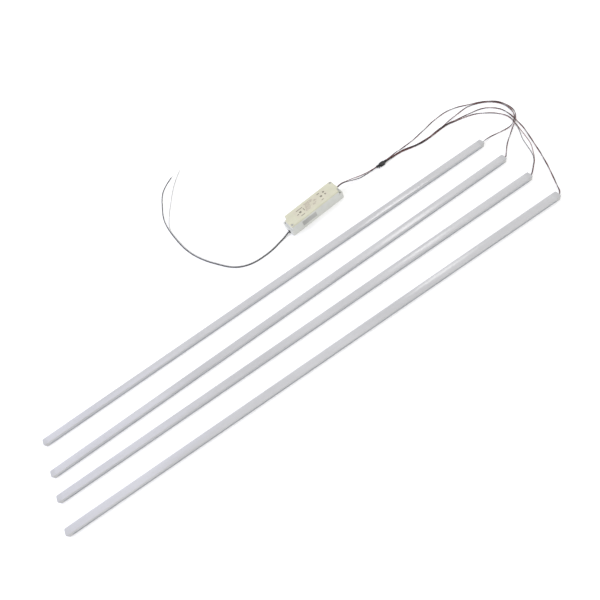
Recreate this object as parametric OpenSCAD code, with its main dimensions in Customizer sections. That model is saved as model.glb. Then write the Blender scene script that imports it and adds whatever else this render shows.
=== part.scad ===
// LED light bar kit: four slim bars, an LED driver and the leads that join them.
// Millimetres. +Z is up, the kit lies on z = 0 and the bars run along X with
// their leads at the +X end. The origin is under the middle of the bars and driver.

/* [Light bars] */
// Length of one bar over both end caps
bar_len = 1164; // [400:2:1180]
// Width of a bar
bar_w = 17.5; // [16:0.5:22]
// Height of a bar, from its back to the top of its diffuser
bar_h = 10; // [9.5:0.5:12]
// Height of the aluminium channel's side walls
channel_h = 6.5; // [6:0.25:7]
// Wall thickness of the aluminium channel
channel_wall = 1.3; // [1:0.1:1.5]
// Wall thickness of the milky diffuser
diffuser_wall = 1.2; // [1:0.1:1.4]
// Length of an end cap that shows
cap_len = 10; // [8:1:14]
// Length of the end cap's plug inside the channel
cap_plug_len = 7; // [4:1:8]
// Number of LEDs on one bar
led_count = 72; // [12:1:90]

/* [Driver] */
// Length of the driver over its mounting flanges
driver_len = 152; // [152:1:160]
// Width of the driver
driver_w = 40; // [40:1:44]
// Height of the driver with its lid
driver_h = 30; // [30:1:34]
// Wall thickness of the driver's case
driver_wall = 2; // [1.6:0.2:2.4]
// Thickness of the driver's lid
driver_lid_h = 4; // [3.5:0.5:5]
// Distance between the driver's two mounting holes, measured along it
driver_hole_pitch = 142; // [140:0.5:143]
// Diameter of a mounting hole
driver_hole_d = 4.2; // [3.2:0.1:4.4]

/* [Connector] */
// Length of the plug shroud
shroud_len = 11.5; // [11:0.5:13]
// Depth that the socket goes into the shroud
mate_depth = 8.5; // [7:0.5:8.5]
// Length of the socket housing
socket_len = 18; // [17:0.5:18]
// Length of the moulded boot behind the shroud
boot_len = 7; // [5:1:7]
// How far the plug pins are apart
pin_pitch = 2; // [1.9:0.05:2]

/* [Leads] */
// Diameter of one pair of lamp conductors laid together
pair_d = 2.4; // [1.8:0.1:2.4]
// Diameter of one conductor of the driver's output lead
output_d = 1.8; // [1.2:0.1:1.8]
// Diameter of one mains input conductor
input_d = 2.2; // [1.6:0.1:2.2]

/* [Hidden] */
$fn = 48;

// Where each bar lies: the Y of its middle and the few tenths of a degree it lies askew
bar_y = [41, -33, -99, -172];
bar_yaw = [0.2, 0.65, -0.2, -0.4];

// Bar section
inner_len = bar_len - 2 * cap_len;
channel_base = 1.4;
clip_groove_z = 2.2;
clip_groove_h = 1.6;
clip_groove_depth = 0.5;
dome_r = 3;
crown = 0.8;
crown_r = bar_w * bar_w / (8 * crown);
leg_t = 0.9;
leg_bottom = 4.6;
leg_web = 0.45;
slide_gap = 0.05;
board_w = 12;
board_t = 1;
led_size = [3.5, 2.8, 0.75];
resistor_size = [1.6, 0.8, 0.5];
board_len = inner_len - 2 * (cap_plug_len + 1);
led_pitch = (board_len - 16) / (led_count - 1);
lead_hole_r = 1.45;
lead_hole_z = 5;
cap_corner_r = 3.5;

// Driver
driver_at = [190, 157];
driver_yaw = 5;
case_h = driver_h - driver_lid_h;
block_end = driver_len / 2 - 4;
block_r = 4;
flange_h = 16;
flange_r = 3.5;
hole_x = driver_hole_pitch / 2;
hole_y = driver_w / 2 - 5.8;
pocket_r = 5.6;
cavity_x = hole_x - pocket_r - driver_wall;
cavity_y = driver_w / 2 - driver_wall;
lid_screw_x = block_end - 4.5;
lid_screw_y = driver_w / 2 - 4.5;
pilot_r = 1.3;
lip_h = 1.5;
fit_gap = 0.15;
// The bushes for the wires: height, radius, Y, X of the outer face, length of the bore
input_bush = [4.6, 3.2, -4, driver_len / 2, driver_len / 2 - block_end + driver_wall];
output_bush = [20.5, 3.4, 0, block_end, driver_wall];
board_z = 5;
board_top = board_z + 1.6;
standoff_x = 50;
standoff_y = 12;
label_t = 0.25;

// Connector, along X, its socket end towards the driver
connector_at = [386, 162];
axis_z = 3.3;
shroud_wall = 1;
socket_half_y = 1.9;
socket_half_z = 2.1;
lever_t = 0.9;
lever_y = -3.7;
lever_half_z = 1.3;
lever_room = 1.1;
shroud_x0 = -3.5;
shroud_x1 = shroud_x0 + shroud_len;
socket_front = shroud_x0 + mate_depth;
socket_rear = socket_front - socket_len;
boot_end = shroud_x1 + boot_len;
pivot_x = socket_front - 1.8;
pivot_r = 0.5;
lever_bend_x = shroud_x0 - 0.6;
lever_tail = 7;
lever_flare = 28;
pin_r = 0.4;
contact_r = 0.75;

// Leads: the height at which each lies on the surface
pair_z = pair_d / 2 + 0.1;
input_z = input_d / 2 + 0.1;
input_gap = input_d + 0.4;
output_z = output_d / 2 + 0.2;
output_gap = output_d + 0.5;
tip_len = 8;
tip_r = 0.6;

// ---------------------------------------------------------------- placing

// A point on bar i's axis, at distance x along it and height z
function on_bar(i, x, z) = [x * cos(bar_yaw[i]), bar_y[i] + x * sin(bar_yaw[i]), z];

// A point of the driver's own frame
function on_driver(x, y, z) = [
    driver_at[0] + x * cos(driver_yaw) - y * sin(driver_yaw),
    driver_at[1] + x * sin(driver_yaw) + y * cos(driver_yaw),
    z
];

// The bore of the lead cap and the two straight points outside it
function bar_exit(i) = [
    on_bar(i, bar_len / 2 - cap_len - cap_plug_len - 2, lead_hole_z),
    on_bar(i, bar_len / 2 + 0.5, lead_hole_z),
    on_bar(i, bar_len / 2 + 3.5, lead_hole_z)
];

// Where a lamp lead leaves the boot: one of four places, two over two
function at_boot(side, level) = [
    for (x = [14, 7, 0])
        [connector_at[0] + boot_end + x, connector_at[1] + side * 1.3, axis_z + level * 1.25]
];

// ---------------------------------------------------------------- lead routes

route_1 = concat(
    bar_exit(0),
    [
        [593, 44.2, 4.3], [604, 45.4, 2.6], [617, 44.5, 1.4], [630, 42, pair_z],
        [643, 39, 1.8], [653, 37, 3.2], [662, 38, 4], [672, 43.7, 4.1], [680.7, 51.4, 4.1],
        [688.4, 60.5, 4], [694, 73, 2.9],
        [697.5, 86, 1.6], [698, 99, pair_z], [695.5, 112, pair_z], [690, 124.5, pair_z],
        [682, 135.5, pair_z], [672, 144.5, pair_z], [661, 152, pair_z], [649, 158, pair_z],
        [636, 160.6, pair_z], [621, 160.2, pair_z], [606, 159, 1.6], [590, 156.3, 2.8],
        [574, 153, 3.9], [560, 151, 3.9], [545, 150, 3.7], [518, 147.5, 3.6], [493, 148, 3.6],
        [473, 152.5, 3.6], [460, 156.5, 3.6], [446, 160.3, 3.7], [431, 161.3, 3.9]
    ],
    at_boot(-1, 1)
);
route_2 = concat(
    bar_exit(1),
    [
        [589.5, -23.8, 4.4], [597.5, -15.8, 2.8], [608.5, -5, 1.5], [619, 4, pair_z],
        [630.5, 12.7, pair_z],
        [642, 20.5, 1.5], [653, 27.5, 2.9], [664, 34.5, 4], [674, 41.5, 4.1], [683, 49.5, 4.1],
        [691, 59, 4], [697, 69.5, 3], [700.5, 82, 1.7], [701.5, 96, pair_z], [699.5, 109, pair_z],
        [695, 122, pair_z], [687.5, 134, pair_z], [678, 143.5, pair_z], [667, 152, pair_z],
        [655, 159.5, pair_z], [640, 168.5, pair_z], [624, 178, pair_z], [604, 185, pair_z],
        [582, 186.5, pair_z], [558, 184.5, pair_z], [535, 180, pair_z], [512, 175, pair_z],
        [487, 170.5, pair_z], [464, 168.5, pair_z], [444, 168, 1.7], [430, 166.2, 3.3]
    ],
    at_boot(1, 1)
);
route_3 = concat(
    bar_exit(2),
    [
        [590, -98.6, 4.5], [599, -91.5, 2.9], [609, -83, 1.6], [619.5, -74, pair_z],
        [629, -62, pair_z], [638, -46, pair_z], [646, -29, pair_z], [653, -10, pair_z],
        [660, 6, pair_z], [666.5, 22, pair_z],
        [672, 38, pair_z], [676, 54, pair_z], [677, 68, pair_z], [673.5, 82, pair_z],
        [666, 96, pair_z], [656, 109, pair_z], [645, 120.5, pair_z], [632, 129.5, pair_z],
        [618, 136, pair_z], [604, 140.3, pair_z], [588, 144.8, pair_z], [571, 148.8, pair_z],
        [545, 148.6, pair_z], [518, 146.1, pair_z], [493, 146.6, pair_z], [473, 151.1, pair_z],
        [460, 155.1, pair_z], [446, 158.9, pair_z], [430, 160.5, 1.5]
    ],
    at_boot(-1, -1)
);
route_4 = concat(
    bar_exit(3),
    [
        [588.8, -173.9, 4.5], [594.8, -166.6, 3.2], [602, -153, 1.9], [610.5, -137, pair_z],
        [621, -116.5, pair_z], [631.5, -94, pair_z], [642.5, -68.5, pair_z], [652, -44, pair_z],
        [661.5, -19, pair_z], [670.5, 5, pair_z], [676, 24, pair_z], [679.5, 40, pair_z],
        [682.5, 56, pair_z],
        [684.5, 70, pair_z], [685, 83, pair_z], [682.5, 97, pair_z], [677, 110, pair_z],
        [668, 122, pair_z], [655, 131, pair_z], [640, 136.5, pair_z], [622, 140.5, pair_z],
        [606, 143.8, pair_z], [590, 147.7, pair_z], [571, 151.4, pair_z], [545, 151.4, pair_z],
        [518, 148.9, pair_z], [493, 149.4, pair_z], [473, 153.9, pair_z], [460, 157.9, pair_z],
        [446, 161.7, pair_z], [430, 163.3, 1.5]
    ],
    at_boot(1, -1)
);

// The output conductors leave side by side, part over the surface and enter the socket one over the other
function output_exit(y) = [for (x = [-5, 2.5, 6]) on_driver(block_end + x, y, output_bush[0])];
function at_socket(dz) = [
    for (x = [-8, -4, 0]) [connector_at[0] + socket_rear + x, connector_at[1], axis_z + dz]
];
output_black_route = concat(
    output_exit(-output_gap / 2),
    [
        [275.5, 164.9, 19.4], [283.5, 166.6, 16.8], [293, 167.6, 12.8], [303, 167.4, 8.6],
        [313, 166.2, 5.1], [324, 164.6, 2.3], [335, 163.7, output_z], [346, 163.2, output_z],
        [355, 162.6, 1.6]
    ],
    at_socket(-pin_pitch / 2)
);
output_red_route = concat(
    output_exit(output_gap / 2),
    [
        [275.5, 167.2, 19.4], [283.2, 169, 16.8], [292.2, 170.4, 12.8], [302, 172.2, 8.4],
        [312, 173.6, 4.3], [322.5, 172.9, 1.6], [333, 170, output_z], [344, 166.6, 1.9],
        [354, 163.6, 3.6]
    ],
    at_socket(pin_pitch / 2)
);

// The two input conductors run side by side, then part towards their free ends
input_route = [
    [101.5, 144.2, 3.1], [92, 142, 1.7], [79, 138.8, input_z], [63, 134.4, input_z],
    [45, 131.6, input_z], [26, 130.8, input_z], [8, 132, input_z], [-12, 137.5, input_z],
    [-32, 149, input_z],
    [-50, 167, input_z], [-66, 190, input_z], [-82, 215, input_z], [-95, 240, input_z],
    [-106, 267, input_z], [-114, 296, input_z], [-119, 325, input_z], [-122, 352, input_z],
    [-124, 378, input_z]
];
black_tail = [
    [-125.5, 404, input_z], [-123.5, 428, input_z], [-118, 452, input_z], [-110, 476, input_z],
    [-100, 503, input_z], [-87, 527, input_z], [-68, 546, input_z], [-46, 561, input_z]
];
white_tail = [
    [-119, 400, input_z], [-110, 423, input_z], [-99, 446, input_z], [-86, 469, input_z],
    [-72, 494, input_z], [-57, 518, input_z], [-39, 542, input_z], [-18, 565, input_z]
];

function unit(v) = v / norm(v);
function flat_unit(v) = unit([v[0], v[1]]);

// A route moved sideways by d, to the right of its direction
function beside(route, d) = [
    for (i = [0 : len(route) - 1])
        let (t = flat_unit(route[min(i + 1, len(route) - 1)] - route[max(i - 1, 0)]))
            [route[i][0] + d * t[1], route[i][1] - d * t[0], route[i][2]]
];
function input_exit(d) = [
    for (x = [9, -2.5, -5.5]) on_driver(x - driver_len / 2, input_bush[2] + d, input_bush[0])
];
black_route = concat(input_exit(-input_gap / 2), beside(input_route, -input_gap / 2), black_tail);
white_route = concat(input_exit(input_gap / 2), beside(input_route, input_gap / 2), white_tail);

// ---------------------------------------------------------------- lead tubes

// Catmull-Rom curve through a route, with two rings for each stretch
function bend(p0, p1, p2, p3, t) =
    (2 * p1 + (p2 - p0) * t + (2 * p0 - 5 * p1 + 4 * p2 - p3) * t * t
    + (3 * p1 - p0 - 3 * p2 + p3) * t * t * t) / 2;
function smooth(r) = let (n = len(r)) concat(
    [
        for (i = [0 : n - 2], t = [0, 0.5])
            bend(i == 0 ? 2 * r[0] - r[1] : r[i - 1], r[i], r[i + 1],
                 i == n - 2 ? 2 * r[n - 1] - r[n - 2] : r[i + 2], t)
    ],
    [r[n - 1]]
);

// One ring of a tube: centre c, direction t, radius r
function ring(c, t, r, sides) =
    let (u = unit(cross([0, 0, 1], t)), v = cross(t, u))
        [for (k = [0 : sides - 1]) let (a = 360 * k / sides) c + r * (cos(a) * u + sin(a) * v)];

module tube(route, d, sides = 8) {
    line = smooth(route);
    n = len(line);
    points = [
        for (i = [0 : n - 1])
            each ring(line[i], unit(line[min(i + 1, n - 1)] - line[max(i - 1, 0)]), d / 2, sides)
    ];
    walls = [
        for (i = [0 : n - 2], k = [0 : sides - 1])
            let (a = i * sides + k, b = i * sides + (k + 1) % sides)
                each [[a, b + sides, b], [a, a + sides, b + sides]]
    ];
    ends = [
        [for (k = [0 : sides - 1]) k],
        [for (k = [sides - 1 : -1 : 0]) (n - 1) * sides + k]
    ];
    polyhedron(points, concat(walls, ends), convexity = 10);
}

// ---------------------------------------------------------------- light bars

// Puts a section drawn in YZ along X, from x0 to x1
module along_x(x0, x1) {
    translate([x0, 0, 0]) rotate([90, 0, 90]) linear_extrude(x1 - x0) children();
}

module place_bar(i) {
    translate([0, bar_y[i], 0]) rotate([0, 0, bar_yaw[i]]) children();
}

// A box with a flat foot, rounded upper corners and a slightly crowned top
module dome_2d(w, z0, z1, r) {
    intersection() {
        translate([0, z1 - crown_r]) circle(crown_r, $fn = 180);
        translate([-w / 2, z0]) square([w, z1 - z0]);
        union() {
            translate([-w / 2, z0 - r]) square([w, z1 - z0]);
            translate([-w / 2 + r, z0]) square([w - 2 * r, z1 - z0]);
            for (s = [-1, 1]) translate([s * (w / 2 - r), z1 - r]) circle(r);
        }
    }
}

module channel_2d() {
    difference() {
        translate([-bar_w / 2, 0]) square([bar_w, channel_h]);
        translate([-bar_w / 2 + channel_wall, channel_base])
            square([bar_w - 2 * channel_wall, channel_h]);
        for (s = [-1, 1])
            translate([s * bar_w / 2 - clip_groove_depth, clip_groove_z])
                square([2 * clip_groove_depth, clip_groove_h]);
    }
}

module diffuser_2d() {
    leg_out = bar_w / 2 - channel_wall - slide_gap;
    difference() {
        dome_2d(bar_w, channel_h, bar_h, dome_r);
        dome_2d(bar_w - 2 * diffuser_wall, channel_h - 1, bar_h - diffuser_wall,
                dome_r - diffuser_wall);
    }
    for (s = [0, 1]) mirror([s, 0]) {
        translate([leg_out - leg_t, leg_bottom]) square([leg_t, channel_h + leg_web - leg_bottom]);
        translate([leg_out - leg_t, channel_h])
            square([bar_w / 2 - 0.5 - leg_out + leg_t, leg_web]);
    }
}

module bar_channel(i) {
    color("silver") place_bar(i) along_x(-inner_len / 2, inner_len / 2) channel_2d();
}

module bar_diffuser(i) {
    color("white") place_bar(i) along_x(-inner_len / 2, inner_len / 2) diffuser_2d();
}

module bar_board(i) {
    color("whitesmoke") place_bar(i) {
        translate([-board_len / 2, -board_w / 2, channel_base]) cube([board_len, board_w, board_t]);
        for (k = [1 : 3 : led_count - 2])
            translate([led_x(k) + led_pitch / 2 - resistor_size[0] / 2, 3, channel_base + board_t])
                cube(resistor_size);
    }
}

function led_x(k) = (k - (led_count - 1) / 2) * led_pitch;

module bar_leds(i) {
    color("gold") place_bar(i)
        for (k = [0 : led_count - 1])
            translate([led_x(k) - led_size[0] / 2, -led_size[1] / 2, channel_base + board_t])
                cube(led_size);
}

// An end cap at the bar's +X end: a block of the bar's outline, and a plug inside the bar
module cap_body() {
    outer = bar_len / 2;
    plug_half = bar_w / 2 - channel_wall - slide_gap - leg_t - 0.1;
    intersection() {
        along_x(inner_len / 2, outer) dome_2d(bar_w, 0, bar_h, dome_r);
        linear_extrude(bar_h) {
            translate([inner_len / 2 - 1, -bar_w / 2])
                square([cap_len + 1 - cap_corner_r, bar_w]);
            translate([inner_len / 2 - 1, -bar_w / 2 + cap_corner_r])
                square([cap_len + 1, bar_w - 2 * cap_corner_r]);
            for (s = [-1, 1])
                translate([outer - cap_corner_r, s * (bar_w / 2 - cap_corner_r)])
                    circle(cap_corner_r);
        }
    }
    translate([inner_len / 2 - cap_plug_len, -plug_half, channel_base + 0.1])
        cube([cap_plug_len + 1, 2 * plug_half, bar_h - diffuser_wall - channel_base - 0.8]);
}

module bar_lead_cap(i) {
    color("gainsboro") place_bar(i) difference() {
        cap_body();
        translate([inner_len / 2 - cap_plug_len - 1, 0, lead_hole_z]) rotate([0, 90, 0])
            cylinder(r = lead_hole_r, h = cap_len + cap_plug_len + 2);
    }
}

module bar_end_cap(i) {
    color("gainsboro") place_bar(i) rotate([0, 0, 180]) cap_body();
}

// ---------------------------------------------------------------- driver

module place_driver() {
    translate([driver_at[0], driver_at[1], 0]) rotate([0, 0, driver_yaw]) children();
}

module rounded_2d(half_x, half_y, r) {
    square([2 * half_x - 2 * r, 2 * half_y], center = true);
    square([2 * half_x, 2 * half_y - 2 * r], center = true);
    for (sx = [-1, 1], sy = [-1, 1])
        translate([sx * (half_x - r), sy * (half_y - r)]) circle(r);
}

// The block seen from above: two opposite corners are cut away over the mounting holes
module block_2d() {
    difference() {
        rounded_2d(block_end, driver_w / 2, block_r);
        for (a = [0, 180]) rotate(a) translate([hole_x, -hole_y]) {
            circle(pocket_r);
            translate([0, -30]) square([30, 30 + pocket_r]);
            translate([-pocket_r, -30]) square([30, 30]);
        }
    }
}

// The room inside the case, shrunk by gap
module cavity_2d(gap) {
    square([2 * (cavity_x - gap), 2 * (cavity_y - gap)], center = true);
}

module bush_hole(s, bush) {
    translate([s * (bush[3] - bush[4] / 2), bush[2], bush[0]]) rotate([0, 90, 0])
        cylinder(r = bush[1], h = bush[4] + 2, center = true);
}

module driver_case() {
    color("ivory") place_driver() difference() {
        union() {
            difference() {
                union() {
                    linear_extrude(flange_h) rounded_2d(driver_len / 2, driver_w / 2, flange_r);
                    linear_extrude(case_h) block_2d();
                }
                translate([0, 0, driver_wall]) linear_extrude(case_h) {
                    cavity_2d(0);
                    square([2 * (block_end - driver_wall), 14], center = true);
                }
            }
            for (sx = [-1, 1], sy = [-1, 1])
                translate([sx * standoff_x, sy * standoff_y, driver_wall / 2])
                    cylinder(r = 2.5, h = board_z - driver_wall / 2);
        }
        for (s = [-1, 1]) {
            translate([s * hole_x, -s * hole_y, -1]) cylinder(d = driver_hole_d, h = flange_h + 2);
            translate([s * lid_screw_x, s * lid_screw_y, case_h - 9])
                cylinder(r = pilot_r, h = 10);
        }
        bush_hole(-1, input_bush);
        bush_hole(1, output_bush);
    }
}

module driver_lid() {
    color("ivory") place_driver() difference() {
        union() {
            translate([0, 0, case_h]) linear_extrude(driver_lid_h) block_2d();
            translate([0, 0, case_h - lip_h]) linear_extrude(lip_h + 1) difference() {
                cavity_2d(fit_gap);
                cavity_2d(fit_gap + 1.5);
            }
        }
        for (s = [-1, 1])
            translate([s * lid_screw_x, s * lid_screw_y, case_h - 1]) {
                cylinder(r = 1.7, h = driver_lid_h + 2);
                translate([0, 0, driver_lid_h - 1.2]) cylinder(r = 3.1, h = 4);
            }
    }
}

// Two pan-head screws with cross slots, sunk into the lid's other corners
module driver_lid_screws() {
    color("silver") place_driver()
        for (s = [-1, 1])
            translate([s * lid_screw_x, s * lid_screw_y, 0]) difference() {
                union() {
                    translate([0, 0, driver_h - 2.2]) cylinder(r = 2.8, h = 1.6);
                    translate([0, 0, case_h - 8]) cylinder(r = 1.25, h = driver_lid_h + 6);
                }
                for (a = [0, 90])
                    rotate([0, 0, a]) translate([-1.6, -0.3, driver_h - 1.5]) cube([3.2, 0.6, 2]);
            }
}

module driver_top_label() {
    color("linen") place_driver()
        translate([-47, -14, driver_h]) cube([94, 28, label_t]);
}

module driver_side_label() {
    color("darkgray") place_driver()
        translate([-44, -driver_w / 2 - label_t, 8]) cube([40, label_t, 13.5]);
}

// A flanged bush in the end wall, with two bores for its wires
module grommet(s, bush, bore_r, gap) {
    place_driver() translate([s * (bush[3] - bush[4]), bush[2], bush[0]])
        rotate([0, s * 90, 0]) difference() {
            union() {
                cylinder(r = bush[1] - 0.05, h = bush[4]);
                translate([0, 0, bush[4]]) cylinder(r1 = bush[1] + 0.8, r2 = bush[1] + 0.3, h = 2);
            }
            for (side = [-1, 1])
                translate([0, side * gap / 2, -2]) cylinder(r = bore_r, h = bush[4] + 6);
        }
}

module driver_input_grommet() {
    color("dimgray") grommet(-1, input_bush, input_d / 2 + 0.05, input_gap);
}

module driver_output_grommet() {
    color("dimgray") grommet(1, output_bush, output_d / 2 + 0.05, output_gap);
}

module driver_board() {
    color("darkgreen") place_driver() difference() {
        translate([-60, -17, board_z]) cube([120, 34, 1.6]);
        for (sx = [-1, 1], sy = [-1, 1])
            translate([sx * standoff_x, sy * standoff_y, board_z - 1]) cylinder(r = 1.5, h = 4);
    }
}

// Ferrite core with a window each side of its middle leg
module driver_transformer_core() {
    color("dimgray") place_driver() translate([8, 0, board_top]) difference() {
        translate([-15, -6, 0]) cube([30, 12, 17]);
        for (s = [-1, 1]) translate([s * 7.75 - 3.75, -7, 3.5]) cube([7.5, 14, 10]);
    }
}

// Bobbin and wire round the core's middle leg
module driver_transformer_winding() {
    color("goldenrod") place_driver() translate([8, 0, board_top]) difference() {
        union() {
            for (z = [3.6, 12.2]) translate([-11, -11, z]) cube([22, 22, 1.2]);
            translate([-10, -10, 4]) cube([20, 20, 9]);
        }
        translate([-4.1, -6.1, 3]) cube([8.2, 12.2, 12]);
    }
}

// Electrolytic can lying along the board
module driver_bulk_capacitor() {
    color("navy") place_driver() translate([-36, -6, board_top + 8.1]) rotate([0, 90, 0]) {
        cylinder(r = 8, h = 3);
        cylinder(r = 7.5, h = 4.2);
        translate([0, 0, 4.2]) cylinder(r = 8, h = 20.8);
    }
}

module driver_output_capacitors() {
    color("navy") place_driver()
        for (y = [-9, 3]) translate([38, y, board_top]) {
            cylinder(r = 5, h = 1.5);
            cylinder(r = 4.7, h = 2.5);
            translate([0, 0, 2.5]) cylinder(r = 5, h = 13.5);
        }
}

// Drum core choke: two flanges with wire between them
module driver_input_choke() {
    color("peru") place_driver() translate([-50, 2, board_top]) rotate_extrude()
        polygon([[0, 0], [5.5, 0], [5.5, 1.5], [4.8, 1.5], [4.8, 9.5], [5.5, 9.5], [5.5, 11], [0, 11]]);
}

module driver_line_capacitor() {
    color("gold") place_driver() translate([-43, 8, board_top]) {
        cube([15, 7, 12]);
        translate([1, 1, 12]) cube([13, 5, 0.6]);
    }
}

// Bent aluminium plate that the power transistors are clamped to
module driver_heat_sink() {
    color("silver") place_driver() translate([-22, 14.6, board_top]) {
        cube([46, 1.6, 16]);
        translate([0, -4, 14.4]) cube([46, 4.5, 1.6]);
    }
}

module driver_power_transistors() {
    color("black") place_driver()
        for (x = [-18, 12]) translate([x, 11.3, board_top + 1.5]) {
            cube([10, 3.3, 9]);
            for (k = [2, 5, 8]) translate([k - 0.4, 1.4, -1.5]) cube([0.8, 0.6, 1.6]);
        }
}

module driver_rectifier() {
    color("black") place_driver() translate([-8, -16.6, board_top]) {
        cube([10, 5, 3]);
        translate([3, 1, 3]) cube([4, 3, 0.4]);
    }
}

// Glass fuse with metal end caps
module driver_fuse() {
    color("lightgray") place_driver() translate([-56, -13, board_top + 2.5]) rotate([0, 90, 0]) {
        cylinder(r = 2.3, h = 3);
        translate([0, 0, 3]) cylinder(r = 2, h = 9);
        translate([0, 0, 12]) cylinder(r = 2.3, h = 3);
    }
}

// ---------------------------------------------------------------- connector

module place_connector() {
    translate([connector_at[0], connector_at[1], axis_z]) children();
}

// Lamp-side housing: a shroud round the pins, open towards the driver
module plug_shroud() {
    y0 = lever_y - lever_room;
    y1 = socket_half_y + 0.3;
    half_z = socket_half_z + 0.2;
    w = shroud_wall;
    color("black") place_connector() difference() {
        translate([shroud_x0, y0 - w, -half_z - w])
            cube([shroud_len, y1 - y0 + 2 * w, 2 * (half_z + w)]);
        translate([shroud_x0 - 1, y0, -half_z]) cube([mate_depth + 1.5, y1 - y0, 2 * half_z]);
        translate([-2, y0 - w - 1, -1.4]) cube([3.5, w + 2, 2.8]);
        for (s = [-1, 1])
            translate([0, 0, s * pin_pitch / 2]) rotate([0, 90, 0]) cylinder(r = pin_r, h = 20);
    }
}

module plug_pins() {
    color("goldenrod") place_connector()
        for (s = [-1, 1])
            translate([shroud_x0 + 1, 0, s * pin_pitch / 2]) rotate([0, 90, 0])
                cylinder(r = pin_r, h = shroud_x1 - shroud_x0 + 1);
}

// Moulded boot over the joint of the four lamp leads
module plug_boot() {
    color("black") place_connector() translate([shroud_x1, 0, 0]) rotate([0, 90, 0])
        difference() {
            union() {
                cylinder(r = 3.2, h = boot_len);
                translate([0, 0, 1.5]) cylinder(r = 3.3, h = 1);
                translate([0, 0, 4]) cylinder(r = 3.3, h = 1);
            }
            for (s = [-1, 1])
                translate([s * pin_pitch / 2, 0, -1]) cylinder(r = pin_r, h = 3);
        }
}

// Driver-side housing that slides into the shroud, with two ears for the latch
module socket_housing() {
    color("black") place_connector() difference() {
        union() {
            translate([socket_rear, -socket_half_y, -socket_half_z])
                cube([socket_len, 2 * socket_half_y, 2 * socket_half_z]);
            for (s = [-1, 1])
                translate([pivot_x - 1, lever_y - 0.85, s > 0 ? 1.4 : -socket_half_z])
                    cube([2.6, -lever_y - socket_half_y + 1, socket_half_z - 1.4]);
        }
        for (s = [-1, 1])
            translate([socket_rear + 2, 0, s * pin_pitch / 2]) rotate([0, 90, 0])
                cylinder(r = contact_r, h = socket_len);
        translate([pivot_x, lever_y, -3]) cylinder(r = pivot_r + 0.05, h = 6);
    }
}

module socket_contacts() {
    color("goldenrod") place_connector()
        for (s = [-1, 1])
            translate([socket_rear + 2, 0, s * pin_pitch / 2]) rotate([0, 90, 0]) difference() {
                cylinder(r = contact_r, h = socket_len - 3.5);
                translate([0, 0, 3]) cylinder(r = pin_r + 0.05, h = socket_len);
            }
}

// Latch: pivots in the ears at its front, and is pressed at its tail
module latch_lever() {
    color("black") place_connector() {
        translate([lever_bend_x, lever_y - lever_t / 2, -lever_half_z])
            cube([pivot_x - lever_bend_x, lever_t, 2 * lever_half_z]);
        translate([pivot_x, lever_y, -lever_half_z]) cylinder(r = 0.75, h = 2 * lever_half_z);
        translate([pivot_x, lever_y, -socket_half_z]) cylinder(r = pivot_r, h = 2 * socket_half_z);
        translate([-0.8, lever_y - lever_t / 2 - 0.2, -1.2]) cube([1.8, 0.3, 2.4]);
        translate([lever_bend_x, lever_y, -lever_half_z]) rotate([0, 0, lever_flare]) {
            cylinder(r = lever_t / 2, h = 2 * lever_half_z);
            translate([-lever_tail, -lever_t / 2, 0]) cube([lever_tail, lever_t, 2 * lever_half_z]);
            for (k = [0 : 2])
                translate([k - lever_tail, -lever_t / 2 - 0.5, 0]) cube([0.5, 0.6, 2 * lever_half_z]);
        }
    }
}

// ---------------------------------------------------------------- leads

module bar_lead(route) { color("firebrick") tube(route, pair_d); }
module output_lead_black() { color("black") tube(output_black_route, output_d); }
module output_lead_red() { color("firebrick") tube(output_red_route, output_d); }
module input_lead_black() { color("black") tube(black_route, input_d); }
module input_lead_white() { color("white") tube(white_route, input_d); }

// A tinned tip that carries on straight from the end of a route
module tip(route) {
    last = route[len(route) - 1];
    t = last - route[len(route) - 2];
    translate(last) rotate([0, 90, atan2(t[1], t[0])]) cylinder(r = tip_r, h = tip_len);
}

module input_wire_tips() {
    color("silver") {
        tip(black_route);
        tip(white_route);
    }
}

// ---------------------------------------------------------------- nodes

bar_channel(0);  // bar_1_channel
bar_diffuser(0);  // bar_1_diffuser
bar_board(0);  // bar_1_board
bar_leds(0);  // bar_1_leds
bar_lead_cap(0);  // bar_1_lead_cap
bar_end_cap(0);  // bar_1_end_cap
bar_channel(1);  // bar_2_channel
bar_diffuser(1);  // bar_2_diffuser
bar_board(1);  // bar_2_board
bar_leds(1);  // bar_2_leds
bar_lead_cap(1);  // bar_2_lead_cap
bar_end_cap(1);  // bar_2_end_cap
bar_channel(2);  // bar_3_channel
bar_diffuser(2);  // bar_3_diffuser
bar_board(2);  // bar_3_board
bar_leds(2);  // bar_3_leds
bar_lead_cap(2);  // bar_3_lead_cap
bar_end_cap(2);  // bar_3_end_cap
bar_channel(3);  // bar_4_channel
bar_diffuser(3);  // bar_4_diffuser
bar_board(3);  // bar_4_board
bar_leds(3);  // bar_4_leds
bar_lead_cap(3);  // bar_4_lead_cap
bar_end_cap(3);  // bar_4_end_cap
driver_case();
driver_lid();
driver_lid_screws();
driver_top_label();
driver_side_label();
driver_input_grommet();
driver_output_grommet();
driver_board();
driver_transformer_core();
driver_transformer_winding();
driver_bulk_capacitor();
driver_output_capacitors();
driver_input_choke();
driver_line_capacitor();
driver_heat_sink();
driver_power_transistors();
driver_rectifier();
driver_fuse();
plug_shroud();
plug_pins();
plug_boot();
socket_housing();
socket_contacts();
latch_lever();
bar_lead(route_1);  // bar_1_lead
bar_lead(route_2);  // bar_2_lead
bar_lead(route_3);  // bar_3_lead
bar_lead(route_4);  // bar_4_lead
output_lead_black();
output_lead_red();
input_lead_black();
input_lead_white();
input_wire_tips();
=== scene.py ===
import math

import bpy
from mathutils import Matrix, Vector


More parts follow.
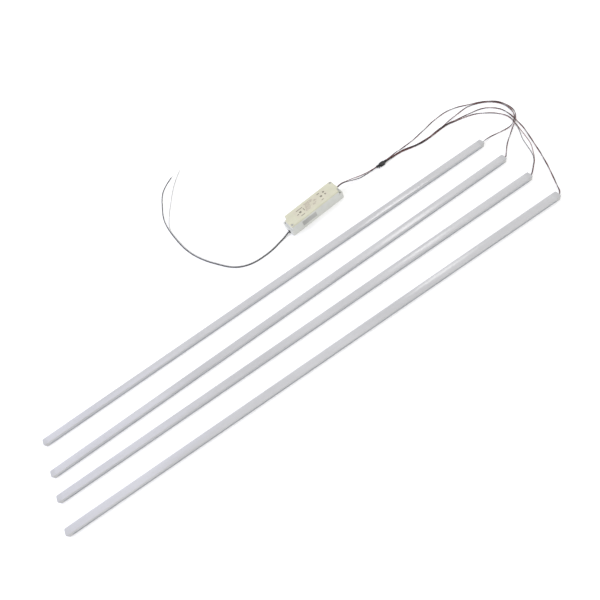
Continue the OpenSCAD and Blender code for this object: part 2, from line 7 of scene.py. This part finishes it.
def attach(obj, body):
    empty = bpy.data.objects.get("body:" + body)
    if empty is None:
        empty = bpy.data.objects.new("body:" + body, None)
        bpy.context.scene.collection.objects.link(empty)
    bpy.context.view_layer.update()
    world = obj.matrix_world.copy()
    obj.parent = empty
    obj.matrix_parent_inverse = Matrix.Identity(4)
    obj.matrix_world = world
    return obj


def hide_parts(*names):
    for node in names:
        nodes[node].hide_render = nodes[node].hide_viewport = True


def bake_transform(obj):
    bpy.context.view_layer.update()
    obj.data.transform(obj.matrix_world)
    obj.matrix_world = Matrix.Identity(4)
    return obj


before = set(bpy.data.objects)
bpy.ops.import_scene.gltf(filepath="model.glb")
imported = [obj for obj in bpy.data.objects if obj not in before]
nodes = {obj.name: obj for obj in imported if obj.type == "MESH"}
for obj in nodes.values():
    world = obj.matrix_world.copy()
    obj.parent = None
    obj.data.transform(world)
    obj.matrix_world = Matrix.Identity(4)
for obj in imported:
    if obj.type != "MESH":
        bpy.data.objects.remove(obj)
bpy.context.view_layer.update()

MM = 0.001


# ---------------------------------------------------------------- camera

CAMERA_AT, LENS = (-0.0200, -0.6315, 0.8754), 30
PITCH, HEADING, ROLL = 55.25, 84.5, 30


def make_camera():
    """Looks down by PITCH along HEADING, turned by ROLL so that the bars rise to the right."""
    pitch, heading, roll = (math.radians(a) for a in (PITCH, HEADING, ROLL))
    flat = Vector((math.cos(heading), math.sin(heading), 0))
    ahead = Vector((flat.x * math.cos(pitch), flat.y * math.cos(pitch), -math.sin(pitch)))
    level = ahead.cross(Vector((0, 0, 1))).normalized()
    rise = level.cross(ahead)
    right = math.cos(roll) * level - math.sin(roll) * rise
    up = math.sin(roll) * level + math.cos(roll) * rise
    data = bpy.data.cameras.new("camera")
    data.sensor_width = 36
    data.lens = LENS
    data.clip_start, data.clip_end = 0.05, 30
    cam = bpy.data.objects.new("camera", data)
    turn = Matrix((right, up, -ahead)).transposed().to_4x4()
    cam.matrix_world = Matrix.Translation(CAMERA_AT) @ turn
    bpy.context.scene.collection.objects.link(cam)
    bpy.context.scene.camera = cam


make_camera()


# ---------------------------------------------------------------- materials

def inputs_of(material):
    """The inputs of a material's main shader."""
    return material.node_tree.nodes["Principled BSDF"].inputs


def look(name, colour, rough, metallic=0.0, **others):
    """A plain material, with others for any other inputs of its shader."""
    material = bpy.data.materials.new(name)
    material.use_nodes = True
    values = {"Base Color": (*colour, 1), "Roughness": rough, "Metallic": metallic, **others}
    for key, value in values.items():
        inputs_of(material)[key].default_value = value
    return material


def add(material, kind, **values):
    """A new shader node with these values on its inputs."""
    node = material.node_tree.nodes.new(kind)
    for key, value in values.items():
        node.inputs[key].default_value = value
    return node


def wire(material, source, target):
    material.node_tree.links.new(source, target)


def place(material, stretch):
    """Object coordinates, in metres, times stretch."""
    coordinates = add(material, "ShaderNodeTexCoord")
    mapping = add(material, "ShaderNodeMapping", Scale=stretch)
    wire(material, coordinates.outputs["Object"], mapping.inputs["Vector"])
    return mapping.outputs["Vector"]


def noise(material, size, stretch=(1, 1, 1), detail=3.0):
    """A noise whose blotches are about size metres across, and longer where stretch is under 1."""
    texture = add(material, "ShaderNodeTexNoise", Scale=1.0 / size, Detail=detail)
    wire(material, place(material, stretch), texture.inputs["Vector"])
    return texture.outputs["Fac"]


def tint(material, source, dark, light, low=0.35, high=0.65):
    """A colour that goes from dark to light as the source goes from low to high."""
    ramp = add(material, "ShaderNodeValToRGB")
    for stop, position, colour in zip(ramp.color_ramp.elements, (low, high), (dark, light)):
        stop.position = position
        stop.color = (*colour, 1)
    wire(material, source, ramp.inputs["Fac"])
    wire(material, ramp.outputs["Color"], inputs_of(material)["Base Color"])


def roughen(material, source, low, high):
    """A roughness that goes from low to high with the source."""
    values = {"From Min": 0.3, "From Max": 0.7, "To Min": low, "To Max": high}
    span = add(material, "ShaderNodeMapRange", **values)
    wire(material, source, span.inputs["Value"])
    wire(material, span.outputs["Result"], inputs_of(material)["Roughness"])


def bump(material, *layers):
    """layers: (height source, depth in metres), each added to the one before."""
    before = None
    for source, depth in layers:
        layer = add(material, "ShaderNodeBump", Strength=1.0, Distance=depth)
        wire(material, source, layer.inputs["Height"])
        if before:
            wire(material, before, layer.inputs["Normal"])
        before = layer.outputs["Normal"]
    wire(material, before, inputs_of(material)["Normal"])


def plastic(name, dark, light, rough, grain=0.0006, depth=0.00002):
    """Moulded plastic or rubber: faint clouds of colour and a fine grain."""
    material = look(name, light, rough)
    tint(material, noise(material, 0.03), dark, light)
    fine = noise(material, grain, detail=2)
    roughen(material, fine, rough - 0.05, rough + 0.07)
    bump(material, (fine, depth))
    return material


def satin(name, dark, light):
    """The driver's plastic, with a deeper grain."""
    return plastic(name, dark, light, 0.42, grain=0.0007, depth=0.00003)


def film(name, dark, light, rough):
    """Label film, nearly smooth."""
    return plastic(name, dark, light, rough, grain=0.002, depth=0.000006)


def milky(name, dark, light):
    """Extruded opal polycarbonate: soft and slightly cloudy, with faint lines along the bar."""
    glow = {"Subsurface Weight": 0.12, "Subsurface Scale": 0.002, "Subsurface Radius": (1, 1, 1)}
    material = look(name, light, 0.17, IOR=1.5, **glow)
    lines = noise(material, 0.0009, (0.004, 1, 1), detail=2)
    cloud = noise(material, 0.05, (0.3, 1, 1), detail=4)
    tint(material, cloud, dark, light)
    roughen(material, cloud, 0.13, 0.21)
    bump(material, (lines, 0.000006), (noise(material, 0.0005), 0.000002))
    return material


def extruded(name, dark, light):
    """Anodised extruded aluminium: fine die lines along the bar."""
    material = look(name, light, 0.42, 1.0)
    lines = noise(material, 0.0006, (0.003, 1, 1), detail=4)
    tint(material, lines, dark, light, 0.25, 0.75)
    roughen(material, noise(material, 0.004, (0.02, 1, 1)), 0.36, 0.5)
    bump(material, (lines, 0.00001))
    return material


def jacket(name, dark, light):
    """PVC wire insulation."""
    material = look(name, light, 0.42, **{"Coat Weight": 0.15, "Coat Roughness": 0.35})
    tint(material, noise(material, 0.012), dark, light)
    roughen(material, noise(material, 0.002), 0.34, 0.52)
    bump(material, (noise(material, 0.0005), 0.000008))
    return material


def metal(name, dark, light, rough=0.3, grain=0.0008):
    """Plated or bare metal with a fine mottle."""
    material = look(name, light, rough, 1.0)
    fine = noise(material, grain)
    tint(material, fine, dark, light)
    roughen(material, fine, rough - 0.08, rough + 0.12)
    bump(material, (fine, 0.000006))
    return material


def glass(name, dark, light):
    """Clear glass, faintly tinted."""
    material = look(name, light, 0.05, **{"Transmission Weight": 0.9, "IOR": 1.5})
    tint(material, noise(material, 0.01), dark, light)
    return material


ALUMINIUM = extruded("aluminium", (0.454, 0.464, 0.480), (0.557, 0.567, 0.588))
MILKY = milky("milky_diffuser", (0.477, 0.477, 0.470), (0.520, 0.520, 0.512))
CAP = plastic("cap_plastic", (0.444, 0.444, 0.438), (0.477, 0.477, 0.471), 0.45)
CASE = satin("driver_case_plastic", (0.560, 0.568, 0.530), (0.616, 0.625, 0.584))
LID = satin("driver_lid_plastic", (0.563, 0.554, 0.411), (0.611, 0.602, 0.452))
LABEL = film("label_cream", (0.563, 0.537, 0.413), (0.613, 0.587, 0.452), 0.35)
SIDE_LABEL = film("label_grey", (0.34, 0.34, 0.32), (0.42, 0.42, 0.40), 0.38)
INK = plastic("label_ink", (0.18, 0.165, 0.125), (0.25, 0.23, 0.18), 0.5, grain=0.001)
FAINT_INK = plastic("label_faint_ink", (0.36, 0.30, 0.24), (0.44, 0.38, 0.31), 0.5, grain=0.001)
BLACK_NYLON = plastic("connector_black", (0.007, 0.007, 0.0075), (0.014, 0.014, 0.015), 0.5, grain=0.0004)
BLACK_RUBBER = plastic("boot_rubber", (0.010, 0.010, 0.010), (0.020, 0.020, 0.020), 0.62, grain=0.0005)
RED_WIRE = jacket("wire_red", (0.10, 0.014, 0.012), (0.15, 0.024, 0.020))
BLACK_WIRE = jacket("wire_black", (0.012, 0.012, 0.012), (0.026, 0.026, 0.026))
WHITE_WIRE = jacket("wire_white", (0.50, 0.50, 0.48), (0.60, 0.60, 0.58))
ZINC = metal("zinc_steel", (0.42, 0.42, 0.41), (0.62, 0.62, 0.60))
TINNED = metal("tinned_copper", (0.50, 0.48, 0.44), (0.70, 0.68, 0.63), 0.34, 0.0004)
BRASS = metal("contact_brass", (0.62, 0.44, 0.16), (0.80, 0.60, 0.26), 0.25)
COPPER = metal("copper", (0.50, 0.20, 0.08), (0.72, 0.32, 0.14), 0.3)
FERRITE = plastic("ferrite", (0.020, 0.020, 0.022), (0.045, 0.045, 0.048), 0.6, grain=0.0008)
TAPE = plastic("winding_tape", (0.62, 0.36, 0.03), (0.78, 0.48, 0.06), 0.25)
SLEEVE = plastic("capacitor_sleeve", (0.008, 0.012, 0.05), (0.016, 0.022, 0.08), 0.25)
FILM = plastic("film_yellow", (0.62, 0.40, 0.03), (0.76, 0.52, 0.06), 0.3)
EPOXY = plastic("black_epoxy", (0.010, 0.010, 0.010), (0.025, 0.025, 0.025), 0.55)
GREEN = plastic("green_board", (0.008, 0.06, 0.02), (0.014, 0.10, 0.035), 0.35)
WHITE_BOARD = plastic("white_board", (0.74, 0.74, 0.72), (0.82, 0.82, 0.80), 0.4)
LED = plastic("led", (0.70, 0.46, 0.06), (0.86, 0.66, 0.16), 0.25)
GLASS = glass("fuse_glass", (0.80, 0.86, 0.86), (0.88, 0.92, 0.92))


# ---------------------------------------------------------------- leads
# Places and routes are in millimetres, as in the CAD source. PAIR_Z, OUTPUT_Z and INPUT_Z are the
# heights of a wire's centre line where it lies flat. The radii are in metres.

BAR_Y = [41, -33, -99, -172]
BAR_YAW = [0.2, 0.65, -0.2, -0.4]
BAR_END, LEAD_HOLE_Z = 582, 5
DRIVER_AT, DRIVER_YAW = (190, 157), math.radians(5)
BLOCK_END, OUTPUT_BUSH_Z = 72, 20.5
FLANGE_END, INPUT_BUSH_Y, INPUT_BUSH_Z = -76, -4, 4.6
CONNECTOR, CONNECTOR_Z = (386, 162), 3.3
BOOT_X, SOCKET_X = 15, -13
BOOT_PITCH_Y, BOOT_PITCH_Z = 1.3, 1.25
PAIR_Z, OUTPUT_Z, INPUT_Z = 1.3, 1.1, 1.2
CONDUCTOR_R, OUTPUT_R, INPUT_R, STRAND_R = 0.6 * MM, 0.9 * MM, 1.1 * MM, 0.2 * MM


def on_bar(i, x, z):
    """A place on the middle line of bar i, at x along it."""
    a = math.radians(BAR_YAW[i])
    return [x * math.cos(a), BAR_Y[i] + x * math.sin(a), z]


def on_driver(x, y, z):
    """A place that is given from the middle of the driver's foot, along its own axes."""
    c, s = math.cos(DRIVER_YAW), math.sin(DRIVER_YAW)
    return [DRIVER_AT[0] + x * c - y * s, DRIVER_AT[1] + x * s + y * c, z]


def bar_exit(i):
    """Out of the cap's hole, from 19 mm inside."""
    return [on_bar(i, BAR_END + x, LEAD_HOLE_Z) for x in (-19, 0.5, 3.5)]


def at_boot(side, level):
    """Into one of the four places on the boot's face."""
    y, z = CONNECTOR[1] + side * BOOT_PITCH_Y, CONNECTOR_Z + level * BOOT_PITCH_Z
    return [[CONNECTOR[0] + BOOT_X + x, y, z] for x in (14, 7, 0)]


def output_exit(y):
    """Out of the driver's output bush."""
    return [on_driver(BLOCK_END + x, y, OUTPUT_BUSH_Z) for x in (-5, 2.5, 6)]


def at_socket(rise):
    """Into the socket's end, above or below its middle."""
    return [[CONNECTOR[0] + SOCKET_X + x, CONNECTOR[1], CONNECTOR_Z + rise] for x in (-8, -4, 0)]


def input_exit(y):
    """Out of the driver's input bush, at y from its middle."""
    return [on_driver(FLANGE_END + x, INPUT_BUSH_Y + y, INPUT_BUSH_Z) for x in (9, -2.5, -5.5)]


def beside(route, d):
    """A route moved sideways by d, to the right of its direction."""
    moved = []
    for i, (x, y, z) in enumerate(route):
        ahead = Vector(route[min(i + 1, len(route) - 1)][:2]) - Vector(route[max(i - 1, 0)][:2])
        ahead.normalize()
        moved.append([x + d * ahead.y, y - d * ahead.x, z])
    return moved


# Each lamp lead runs from its bar's cap to the connector's boot
LAMP_ROUTES = [
    bar_exit(0) + [
        [593, 44.2, 4.3], [604, 45.4, 2.6], [617, 44.5, 1.4], [630, 42, PAIR_Z], [643, 39, 1.8],
        [653, 37, 3.2], [662, 38, 4], [672, 43.7, 4.1], [680.7, 51.4, 4.1], [688.4, 60.5, 4],
        [694, 73, 2.9], [697.5, 86, 1.6], [698, 99, PAIR_Z], [695.5, 112, PAIR_Z],
        [690, 124.5, PAIR_Z], [682, 135.5, PAIR_Z], [672, 144.5, PAIR_Z], [661, 152, PAIR_Z],
        [649, 158, PAIR_Z], [636, 160.6, PAIR_Z], [621, 160.2, PAIR_Z], [606, 159, 1.6],
        [590, 156.3, 2.8], [574, 153, 3.9], [560, 151, 3.9], [545, 150, 3.7], [518, 147.5, 3.6],
        [493, 148, 3.6], [473, 152.5, 3.6], [460, 156.5, 3.6], [446, 160.3, 3.7], [431, 161.3, 3.9]
        ] + at_boot(-1, 1),
    bar_exit(1) + [
        [589.5, -23.8, 4.4], [597.5, -15.8, 2.8], [608.5, -5, 1.5], [619, 4, PAIR_Z],
        [630.5, 12.7, PAIR_Z], [642, 20.5, 1.5], [653, 27.5, 2.9], [664, 34.5, 4], [674, 41.5, 4.1],
        [683, 49.5, 4.1], [691, 59, 4], [697, 69.5, 3], [700.5, 82, 1.7], [701.5, 96, PAIR_Z],
        [699.5, 109, PAIR_Z], [695, 122, PAIR_Z], [687.5, 134, PAIR_Z], [678, 143.5, PAIR_Z],
        [667, 152, PAIR_Z], [655, 159.5, PAIR_Z], [640, 168.5, PAIR_Z], [624, 178, PAIR_Z],
        [604, 185, PAIR_Z], [582, 186.5, PAIR_Z], [558, 184.5, PAIR_Z], [535, 180, PAIR_Z],
        [512, 175, PAIR_Z], [487, 170.5, PAIR_Z], [464, 168.5, PAIR_Z], [444, 168, 1.7],
        [430, 166.2, 3.3]] + at_boot(1, 1),
    bar_exit(2) + [
        [590, -98.6, 4.5], [599, -91.5, 2.9], [609, -83, 1.6], [619.5, -74, PAIR_Z],
        [629, -62, PAIR_Z], [638, -46, PAIR_Z], [646, -29, PAIR_Z], [653, -10, PAIR_Z],
        [660, 6, PAIR_Z], [666.5, 22, PAIR_Z], [672, 38, PAIR_Z], [676, 54, PAIR_Z], [677, 68, PAIR_Z],
        [673.5, 82, PAIR_Z], [666, 96, PAIR_Z], [656, 109, PAIR_Z], [645, 120.5, PAIR_Z],
        [632, 129.5, PAIR_Z], [618, 136, PAIR_Z], [604, 140.3, PAIR_Z], [588, 144.8, PAIR_Z],
        [571, 148.8, PAIR_Z], [545, 148.6, PAIR_Z], [518, 146.1, PAIR_Z], [493, 146.6, PAIR_Z],
        [473, 151.1, PAIR_Z], [460, 155.1, PAIR_Z], [446, 158.9, PAIR_Z], [430, 160.5, 1.5]
        ] + at_boot(-1, -1),
    bar_exit(3) + [
        [588.8, -173.9, 4.5], [594.8, -166.6, 3.2], [602, -153, 1.9], [610.5, -137, PAIR_Z],
        [621, -116.5, PAIR_Z], [631.5, -94, PAIR_Z], [642.5, -68.5, PAIR_Z], [652, -44, PAIR_Z],
        [661.5, -19, PAIR_Z], [670.5, 5, PAIR_Z], [676, 24, PAIR_Z], [679.5, 40, PAIR_Z],
        [682.5, 56, PAIR_Z], [684.5, 70, PAIR_Z], [685, 83, PAIR_Z], [682.5, 97, PAIR_Z],
        [677, 110, PAIR_Z], [668, 122, PAIR_Z], [655, 131, PAIR_Z], [640, 136.5, PAIR_Z],
        [622, 140.5, PAIR_Z], [606, 143.8, PAIR_Z], [590, 147.7, PAIR_Z], [571, 151.4, PAIR_Z],
        [545, 151.4, PAIR_Z], [518, 148.9, PAIR_Z], [493, 149.4, PAIR_Z], [473, 153.9, PAIR_Z],
        [460, 157.9, PAIR_Z], [446, 161.7, PAIR_Z], [430, 163.3, 1.5]] + at_boot(1, -1),
]
# The output wires run from the driver to the connector's socket
OUTPUT_BLACK = output_exit(-1.15) + [
    [275.5, 164.9, 19.4], [283.5, 166.6, 16.8], [293, 167.6, 12.8], [303, 167.4, 8.6],
    [313, 166.2, 5.1], [324, 164.6, 2.3], [335, 163.7, OUTPUT_Z], [346, 163.2, OUTPUT_Z],
    [355, 162.6, 1.6]] + at_socket(-1)
OUTPUT_RED = output_exit(1.15) + [
    [275.5, 167.2, 19.4], [283.2, 169, 16.8], [292.2, 170.4, 12.8], [302, 172.2, 8.4],
    [312, 173.6, 4.3], [322.5, 172.9, 1.6], [333, 170, OUTPUT_Z], [344, 166.6, 1.9], [354, 163.6, 3.6]
    ] + at_socket(1)
# The input wires leave the driver side by side and part towards their bare ends
INPUT = [
    [101.5, 144.2, 3.1], [92, 142, 1.7], [79, 138.8, INPUT_Z], [63, 134.4, INPUT_Z],
    [45, 131.6, INPUT_Z], [26, 130.8, INPUT_Z], [8, 132, INPUT_Z], [-12, 137.5, INPUT_Z],
    [-32, 149, INPUT_Z], [-50, 167, INPUT_Z], [-66, 190, INPUT_Z], [-82, 215, INPUT_Z],
    [-95, 240, INPUT_Z], [-106, 267, INPUT_Z], [-114, 296, INPUT_Z], [-119, 325, INPUT_Z],
    [-122, 352, INPUT_Z], [-124, 378, INPUT_Z]]
INPUT_BLACK = input_exit(-1.3) + beside(INPUT, -1.3) + [
    [-125.5, 404, INPUT_Z], [-123.5, 428, INPUT_Z], [-118, 452, INPUT_Z], [-110, 476, INPUT_Z],
    [-100, 503, INPUT_Z], [-87, 527, INPUT_Z], [-68, 546, INPUT_Z], [-46, 561, INPUT_Z]]
INPUT_WHITE = input_exit(1.3) + beside(INPUT, 1.3) + [
    [-119, 400, INPUT_Z], [-110, 423, INPUT_Z], [-99, 446, INPUT_Z], [-86, 469, INPUT_Z],
    [-72, 494, INPUT_Z], [-57, 518, INPUT_Z], [-39, 542, INPUT_Z], [-18, 565, INPUT_Z]]


def smooth(route, steps=6):
    """The CAD's Catmull-Rom curve through a route in millimetres, as points in metres."""
    points = [Vector(point) * MM for point in route]
    line = []
    for i in range(len(points) - 1):
        p1, p2 = points[i], points[i + 1]
        p0 = points[i - 1] if i else 2 * p1 - p2
        p3 = points[i + 2] if i < len(points) - 2 else 2 * p2 - p1
        for k in range(steps):
            t = k / steps
            line.append((2 * p1 + (p2 - p0) * t + (2 * p0 - 5 * p1 + 4 * p2 - p3) * t * t
                         + (3 * p1 - p0 - 3 * p2 + p3) * t ** 3) / 2)
    line.append(points[-1])
    return line


def curve(name, lines, radius, material):
    """Round wires along lines, as one piece of the fixed body."""
    data = bpy.data.curves.new(name, "CURVE")
    data.dimensions = "3D"
    data.bevel_depth = radius
    data.bevel_resolution = 3
    data.use_fill_caps = True
    data.materials.append(material)
    for line in lines:
        spline = data.splines.new("POLY")
        spline.points.add(len(line) - 1)
        for point, at in zip(spline.points, line):
            point.co = (*at, 1)
        spline.use_smooth = True
    piece = bpy.data.objects.new(name, data)
    bpy.context.scene.collection.objects.link(piece)
    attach(piece, "kit")
    return piece


def across(line, i):
    """Two unit vectors square to a line at its point i, the first of them level."""
    ahead = (line[min(i + 1, len(line) - 1)] - line[max(i - 1, 0)]).normalized()
    level = Vector((0, 0, 1)).cross(ahead).normalized()
    return level, ahead.cross(level)


def tube(name, line, radius, material):
    """A closed mesh tube round a line."""
    sides = 12
    points, faces = [], []
    for i, centre in enumerate(line):
        level, rise = across(line, i)
        for k in range(sides):
            a = 2 * math.pi * k / sides
            points.append(centre + radius * (math.cos(a) * level + math.sin(a) * rise))
    for i in range(len(line) - 1):
        for k in range(sides):
            a, b = i * sides + k, i * sides + (k + 1) % sides
            faces.append((a, b, b + sides, a + sides))
    last = (len(line) - 1) * sides
    faces.append(tuple(range(sides - 1, -1, -1)))
    faces.append(tuple(range(last, last + sides)))
    mesh = bpy.data.meshes.new(name)
    mesh.from_pydata(points, [], faces)
    mesh.polygons.foreach_set("use_smooth", [len(face) == 4 for face in faces])
    mesh.materials.append(material)
    piece = bpy.data.objects.new(name, mesh)
    bpy.context.scene.collection.objects.link(piece)
    return piece


# The length of a whole turn in metres, and the angle at which each lead's twist starts
TWIST_PITCH = 0.085
TWIST_START = [0.4, 1.5, 0, 3.7]
# Bar 3's conductors part from one length along the lead to another, each by up to the last value
PARTED = {2: (0.071, 0.184, 0.0041)}


def twisted(line, start, first=0, last=0, extra=0):
    """Two lines that lie a conductor's radius from the one given, and wind loosely about it past
    the length last. Between the lengths first and last they lie up to extra further away."""
    pair = [[], []]
    gone = 0.0
    for i, centre in enumerate(line):
        if i:
            gone += (centre - line[i - 1]).length
        level, rise = across(line, i)
        a = start + 2 * math.pi * max(gone - last, 0) / TWIST_PITCH
        apart = CONDUCTOR_R
        if first < gone < last:
            apart += extra * math.sin(math.pi * (gone - first) / (last - first)) ** 2
        way = apart * (math.cos(a) * level + math.sin(a) * rise)
        pair[0].append(centre + way)
        pair[1].append(centre - way)
    return pair


def make_lamp_leads():
    """Each lead is a black and a red conductor."""
    for i, route in enumerate(LAMP_ROUTES):
        black, red = twisted(smooth(route), TWIST_START[i], *PARTED.get(i, ()))
        for colour, line, material in (("black", black, BLACK_WIRE), ("red", red, RED_WIRE)):
            piece = curve(f"bar_{i + 1}_lead_{colour}", [line], CONDUCTOR_R, material)
            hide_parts(f"bar_{i + 1}_lead")


def make_output_leads():
    """A black and a red wire, made as mesh tubes."""
    for colour, route, material in (("black", OUTPUT_BLACK, BLACK_WIRE), ("red", OUTPUT_RED, RED_WIRE)):
        line = smooth(route, 8)
        piece = tube(f"output_lead_{colour}_wire", line, OUTPUT_R, material)
        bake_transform(piece)
        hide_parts(f"output_lead_{colour}")


# Millimetres of a wire's strands: inside the insulation, bare, for one turn, and from point to point
STRANDS_INSIDE, STRANDS_BARE, STRAND_TURN, STRAND_STEP = 1, 8, 12, 0.5
STRAND_RING, STRAND_END_RING = 0.4 * MM, 0.36 * MM


def tip_strands(route):
    """The bare end of a wire: six strands twisted round a seventh, and drawn in at the tip."""
    end, before = Vector(route[-1]) * MM, Vector(route[-2]) * MM
    ahead = end - before
    ahead.z = 0
    ahead.normalize()
    level = Vector((0, 0, 1)).cross(ahead)
    rise = ahead.cross(level)
    lines = [[end - STRANDS_INSIDE * MM * ahead, end + STRANDS_BARE * MM * ahead]]
    steps = round((STRANDS_INSIDE + STRANDS_BARE) / STRAND_STEP)
    for k in range(6):
        lines.append([])
        for j in range(steps + 1):
            a = 2 * math.pi * (k / 6 + j * STRAND_STEP / STRAND_TURN)
            ring = STRAND_RING if j < steps - 1 else STRAND_END_RING
            centre = end + (j * STRAND_STEP - STRANDS_INSIDE) * MM * ahead
            lines[-1].append(centre + ring * (math.cos(a) * level + math.sin(a) * rise))
    return lines


def make_input_leads():
    """A black and a white wire, each with bare strands at its far end."""
    bare = tip_strands(INPUT_BLACK) + tip_strands(INPUT_WHITE)
    strands = curve("input_wire_strands", bare, STRAND_R, TINNED)
    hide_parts("input_wire_tips")
    for colour, route, material in (("black", INPUT_BLACK, BLACK_WIRE), ("white", INPUT_WHITE, WHITE_WIRE)):
        line = smooth(route)
        piece = curve(f"input_wire_{colour}", [line], INPUT_R, material)
        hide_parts(f"input_lead_{colour}")


make_lamp_leads()
make_output_leads()
make_input_leads()


# ---------------------------------------------------------------- finishes of the CAD nodes

# Each node's material, and the width of its eased edges in millimetres
BAR_FINISHES = {
    "channel": (ALUMINIUM, 0), "diffuser": (MILKY, 0), "board": (WHITE_BOARD, 0), "leds": (LED, 0),
    "lead_cap": (CAP, 0.4), "end_cap": (CAP, 0.4)}
DRIVER_FINISHES = {
    "case": (CASE, 0.5), "lid": (LID, 0.6), "lid_screws": (ZINC, 0), "top_label": (LABEL, 0),
    "side_label": (SIDE_LABEL, 0), "input_grommet": (BLACK_RUBBER, 0.2),
    "output_grommet": (BLACK_RUBBER, 0.2), "board": (GREEN, 0), "transformer_core": (FERRITE, 0),
    "transformer_winding": (TAPE, 0), "bulk_capacitor": (SLEEVE, 0),
    "output_capacitors": (SLEEVE, 0), "input_choke": (COPPER, 0), "line_capacitor": (FILM, 0),
    "heat_sink": (ALUMINIUM, 0), "power_transistors": (EPOXY, 0), "rectifier": (EPOXY, 0),
    "fuse": (GLASS, 0)}
CONNECTOR_FINISHES = {
    "plug_shroud": (BLACK_NYLON, 0.3), "plug_pins": (BRASS, 0), "plug_boot": (BLACK_RUBBER, 0.3),
    "socket_housing": (BLACK_NYLON, 0.3), "socket_contacts": (BRASS, 0),
    "latch_lever": (BLACK_NYLON, 0.2)}


def finish_nodes(prefix, finishes):
    """Gives the CAD nodes their materials, and a bevel where their edges are eased."""
    for name, (material, edge) in finishes.items():
        node = nodes[prefix + name]
        node.data.materials.clear()
        node.data.materials.append(material)
        if edge:
            bevel = node.modifiers.new("edges", "BEVEL")
            bevel.width = edge * MM
            bevel.segments = 3
            bevel.limit_method = "ANGLE"
            bevel.angle_limit = math.radians(40)


for i in range(len(BAR_Y)):
    finish_nodes(f"bar_{i + 1}_", BAR_FINISHES)
finish_nodes("driver_", DRIVER_FINISHES)
finish_nodes("", CONNECTOR_FINISHES)


def print_on_lid(name, marks, material):
    """Thin blocks (x0, y0, x1, y1), in millimetres from the driver's middle, as one mesh."""
    points, faces = [], []
    for x0, y0, x1, y1 in marks:
        n = len(points)
        for z in PRINT_Z:
            points += [Vector(on_driver(x, y, z)) * MM for x, y in ((x0, y0), (x1, y0), (x1, y1), (x0, y1))]
        faces += [tuple(n + k for k in f) for f in (
            (3, 2, 1, 0), (4, 5, 6, 7), (0, 1, 5, 4), (1, 2, 6, 5), (2, 3, 7, 6), (3, 0, 4, 7))]
    mesh = bpy.data.meshes.new(name)
    mesh.from_pydata(points, [], faces)
    mesh.materials.append(material)
    piece = bpy.data.objects.new(name, mesh)
    bpy.context.scene.collection.objects.link(piece)
    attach(piece, "kit")


# Generic marks in place of printing: bars and squares, and fainter rows of dashes. A row is its y,
# the x at which it starts and the widths of its dashes.
PRINT_Z = (30.25, 30.31)
DASH_HEIGHT, DASH_GAP = 1.3, 1.2
DARK_MARKS = [
    (-39, 7.6, -21, 9.4), (-22.6, -4, -20.8, 4), (-35.4, -3, -29.6, 2), (-43, -4, -38, -1.6),
    (-37, -12.4, -27, -10.6), (24, 10, 31, 12), (38, 4, 42.4, 8.4), (38.4, -4, 42, 0),
    (26.4, -3, 31.6, 2), (23, -12, 29, -10.2)]
FAINT_ROWS = [
    (11.0, -15, (5, 8, 6)), (8.4, -13, (7, 4, 8)), (5.6, -14, (3, 9, 5)), (2.0, -16, (6, 6)),
    (-0.8, -17, (8, 4)), (-3.6, -18, (4, 7, 3)), (-6.4, -20, (9, 4)), (-9.2, -21, (5, 7)),
    (3.6, 9, (6,)), (1.0, 8, (9,)), (-4.4, 2, (5, 4)), (-7.2, 1, (8,))]


def dashes(y, first, widths):
    """The marks of one row."""
    row = []
    for k, width in enumerate(widths):
        x = first + sum(widths[:k]) + DASH_GAP * k
        row.append((x, y, x + width, y + DASH_HEIGHT))
    return row


print_on_lid("driver_top_print", DARK_MARKS, INK)
print_on_lid("driver_top_faint_print", [d for row in FAINT_ROWS for d in dashes(*row)], FAINT_INK)


# ---------------------------------------------------------------- floor and light

def make_floor():
    """It glows a little, which keeps it white in the soft light."""
    half, gap = 9, 0.0002
    corners = [(-half, -half, 0), (half, -half, 0), (half, half, 0), (-half, half, 0)]
    mesh = bpy.data.meshes.new("floor")
    mesh.from_pydata(corners, [], [(0, 1, 2, 3)])
    glow = {"Emission Color": (1, 1, 1, 1), "Emission Strength": 0.13}
    material = look("floor", (0.9, 0.9, 0.89), 0.7, **glow)
    tint(material, noise(material, 0.4), (0.885, 0.885, 0.875), (0.90, 0.90, 0.89))
    mesh.materials.append(material)
    piece = bpy.data.objects.new("floor", mesh)
    piece.location = (0, 0, -gap)
    bpy.context.scene.collection.objects.link(piece)


def make_world():
    world = bpy.data.worlds.new("studio")
    world.use_nodes = True
    background = world.node_tree.nodes["Background"]
    background.inputs["Color"].default_value = (1, 1, 1, 1)
    background.inputs["Strength"].default_value = 1.0
    bpy.context.scene.world = world


def area(name, at, aim, size, power, colour=(1, 1, 1)):
    """A soft light at a place, aimed at another, with its power in watts."""
    data = bpy.data.lights.new(name, "AREA")
    data.shape = "RECTANGLE"
    data.size, data.size_y = size
    data.energy = power
    data.color = colour
    light = bpy.data.objects.new(name, data)
    light.location = at
    light.rotation_mode = "QUATERNION"
    light.rotation_quaternion = (Vector(aim) - Vector(at)).to_track_quat("-Z", "Y")
    bpy.context.scene.collection.objects.link(light)


make_floor()
make_world()
# The key is bluish, like the bars' left ends, and the streak leaves a short highlight on each bar
area("key", (-2.2, 1.0, 1.9), (-0.3, 0, 0), (2.6, 2.6), 37, (0.62, 0.64, 1.0))
area("front", (0.6, -2.2, 2.0), (0, 0, 0), (3.0, 2.0), 5)
area("streak", (1.0, 0.97, 1.9), (0.3, -0.1, 0), (0.40, 0.40), 3.6)
bpy.context.scene.view_settings.view_transform = "Standard"
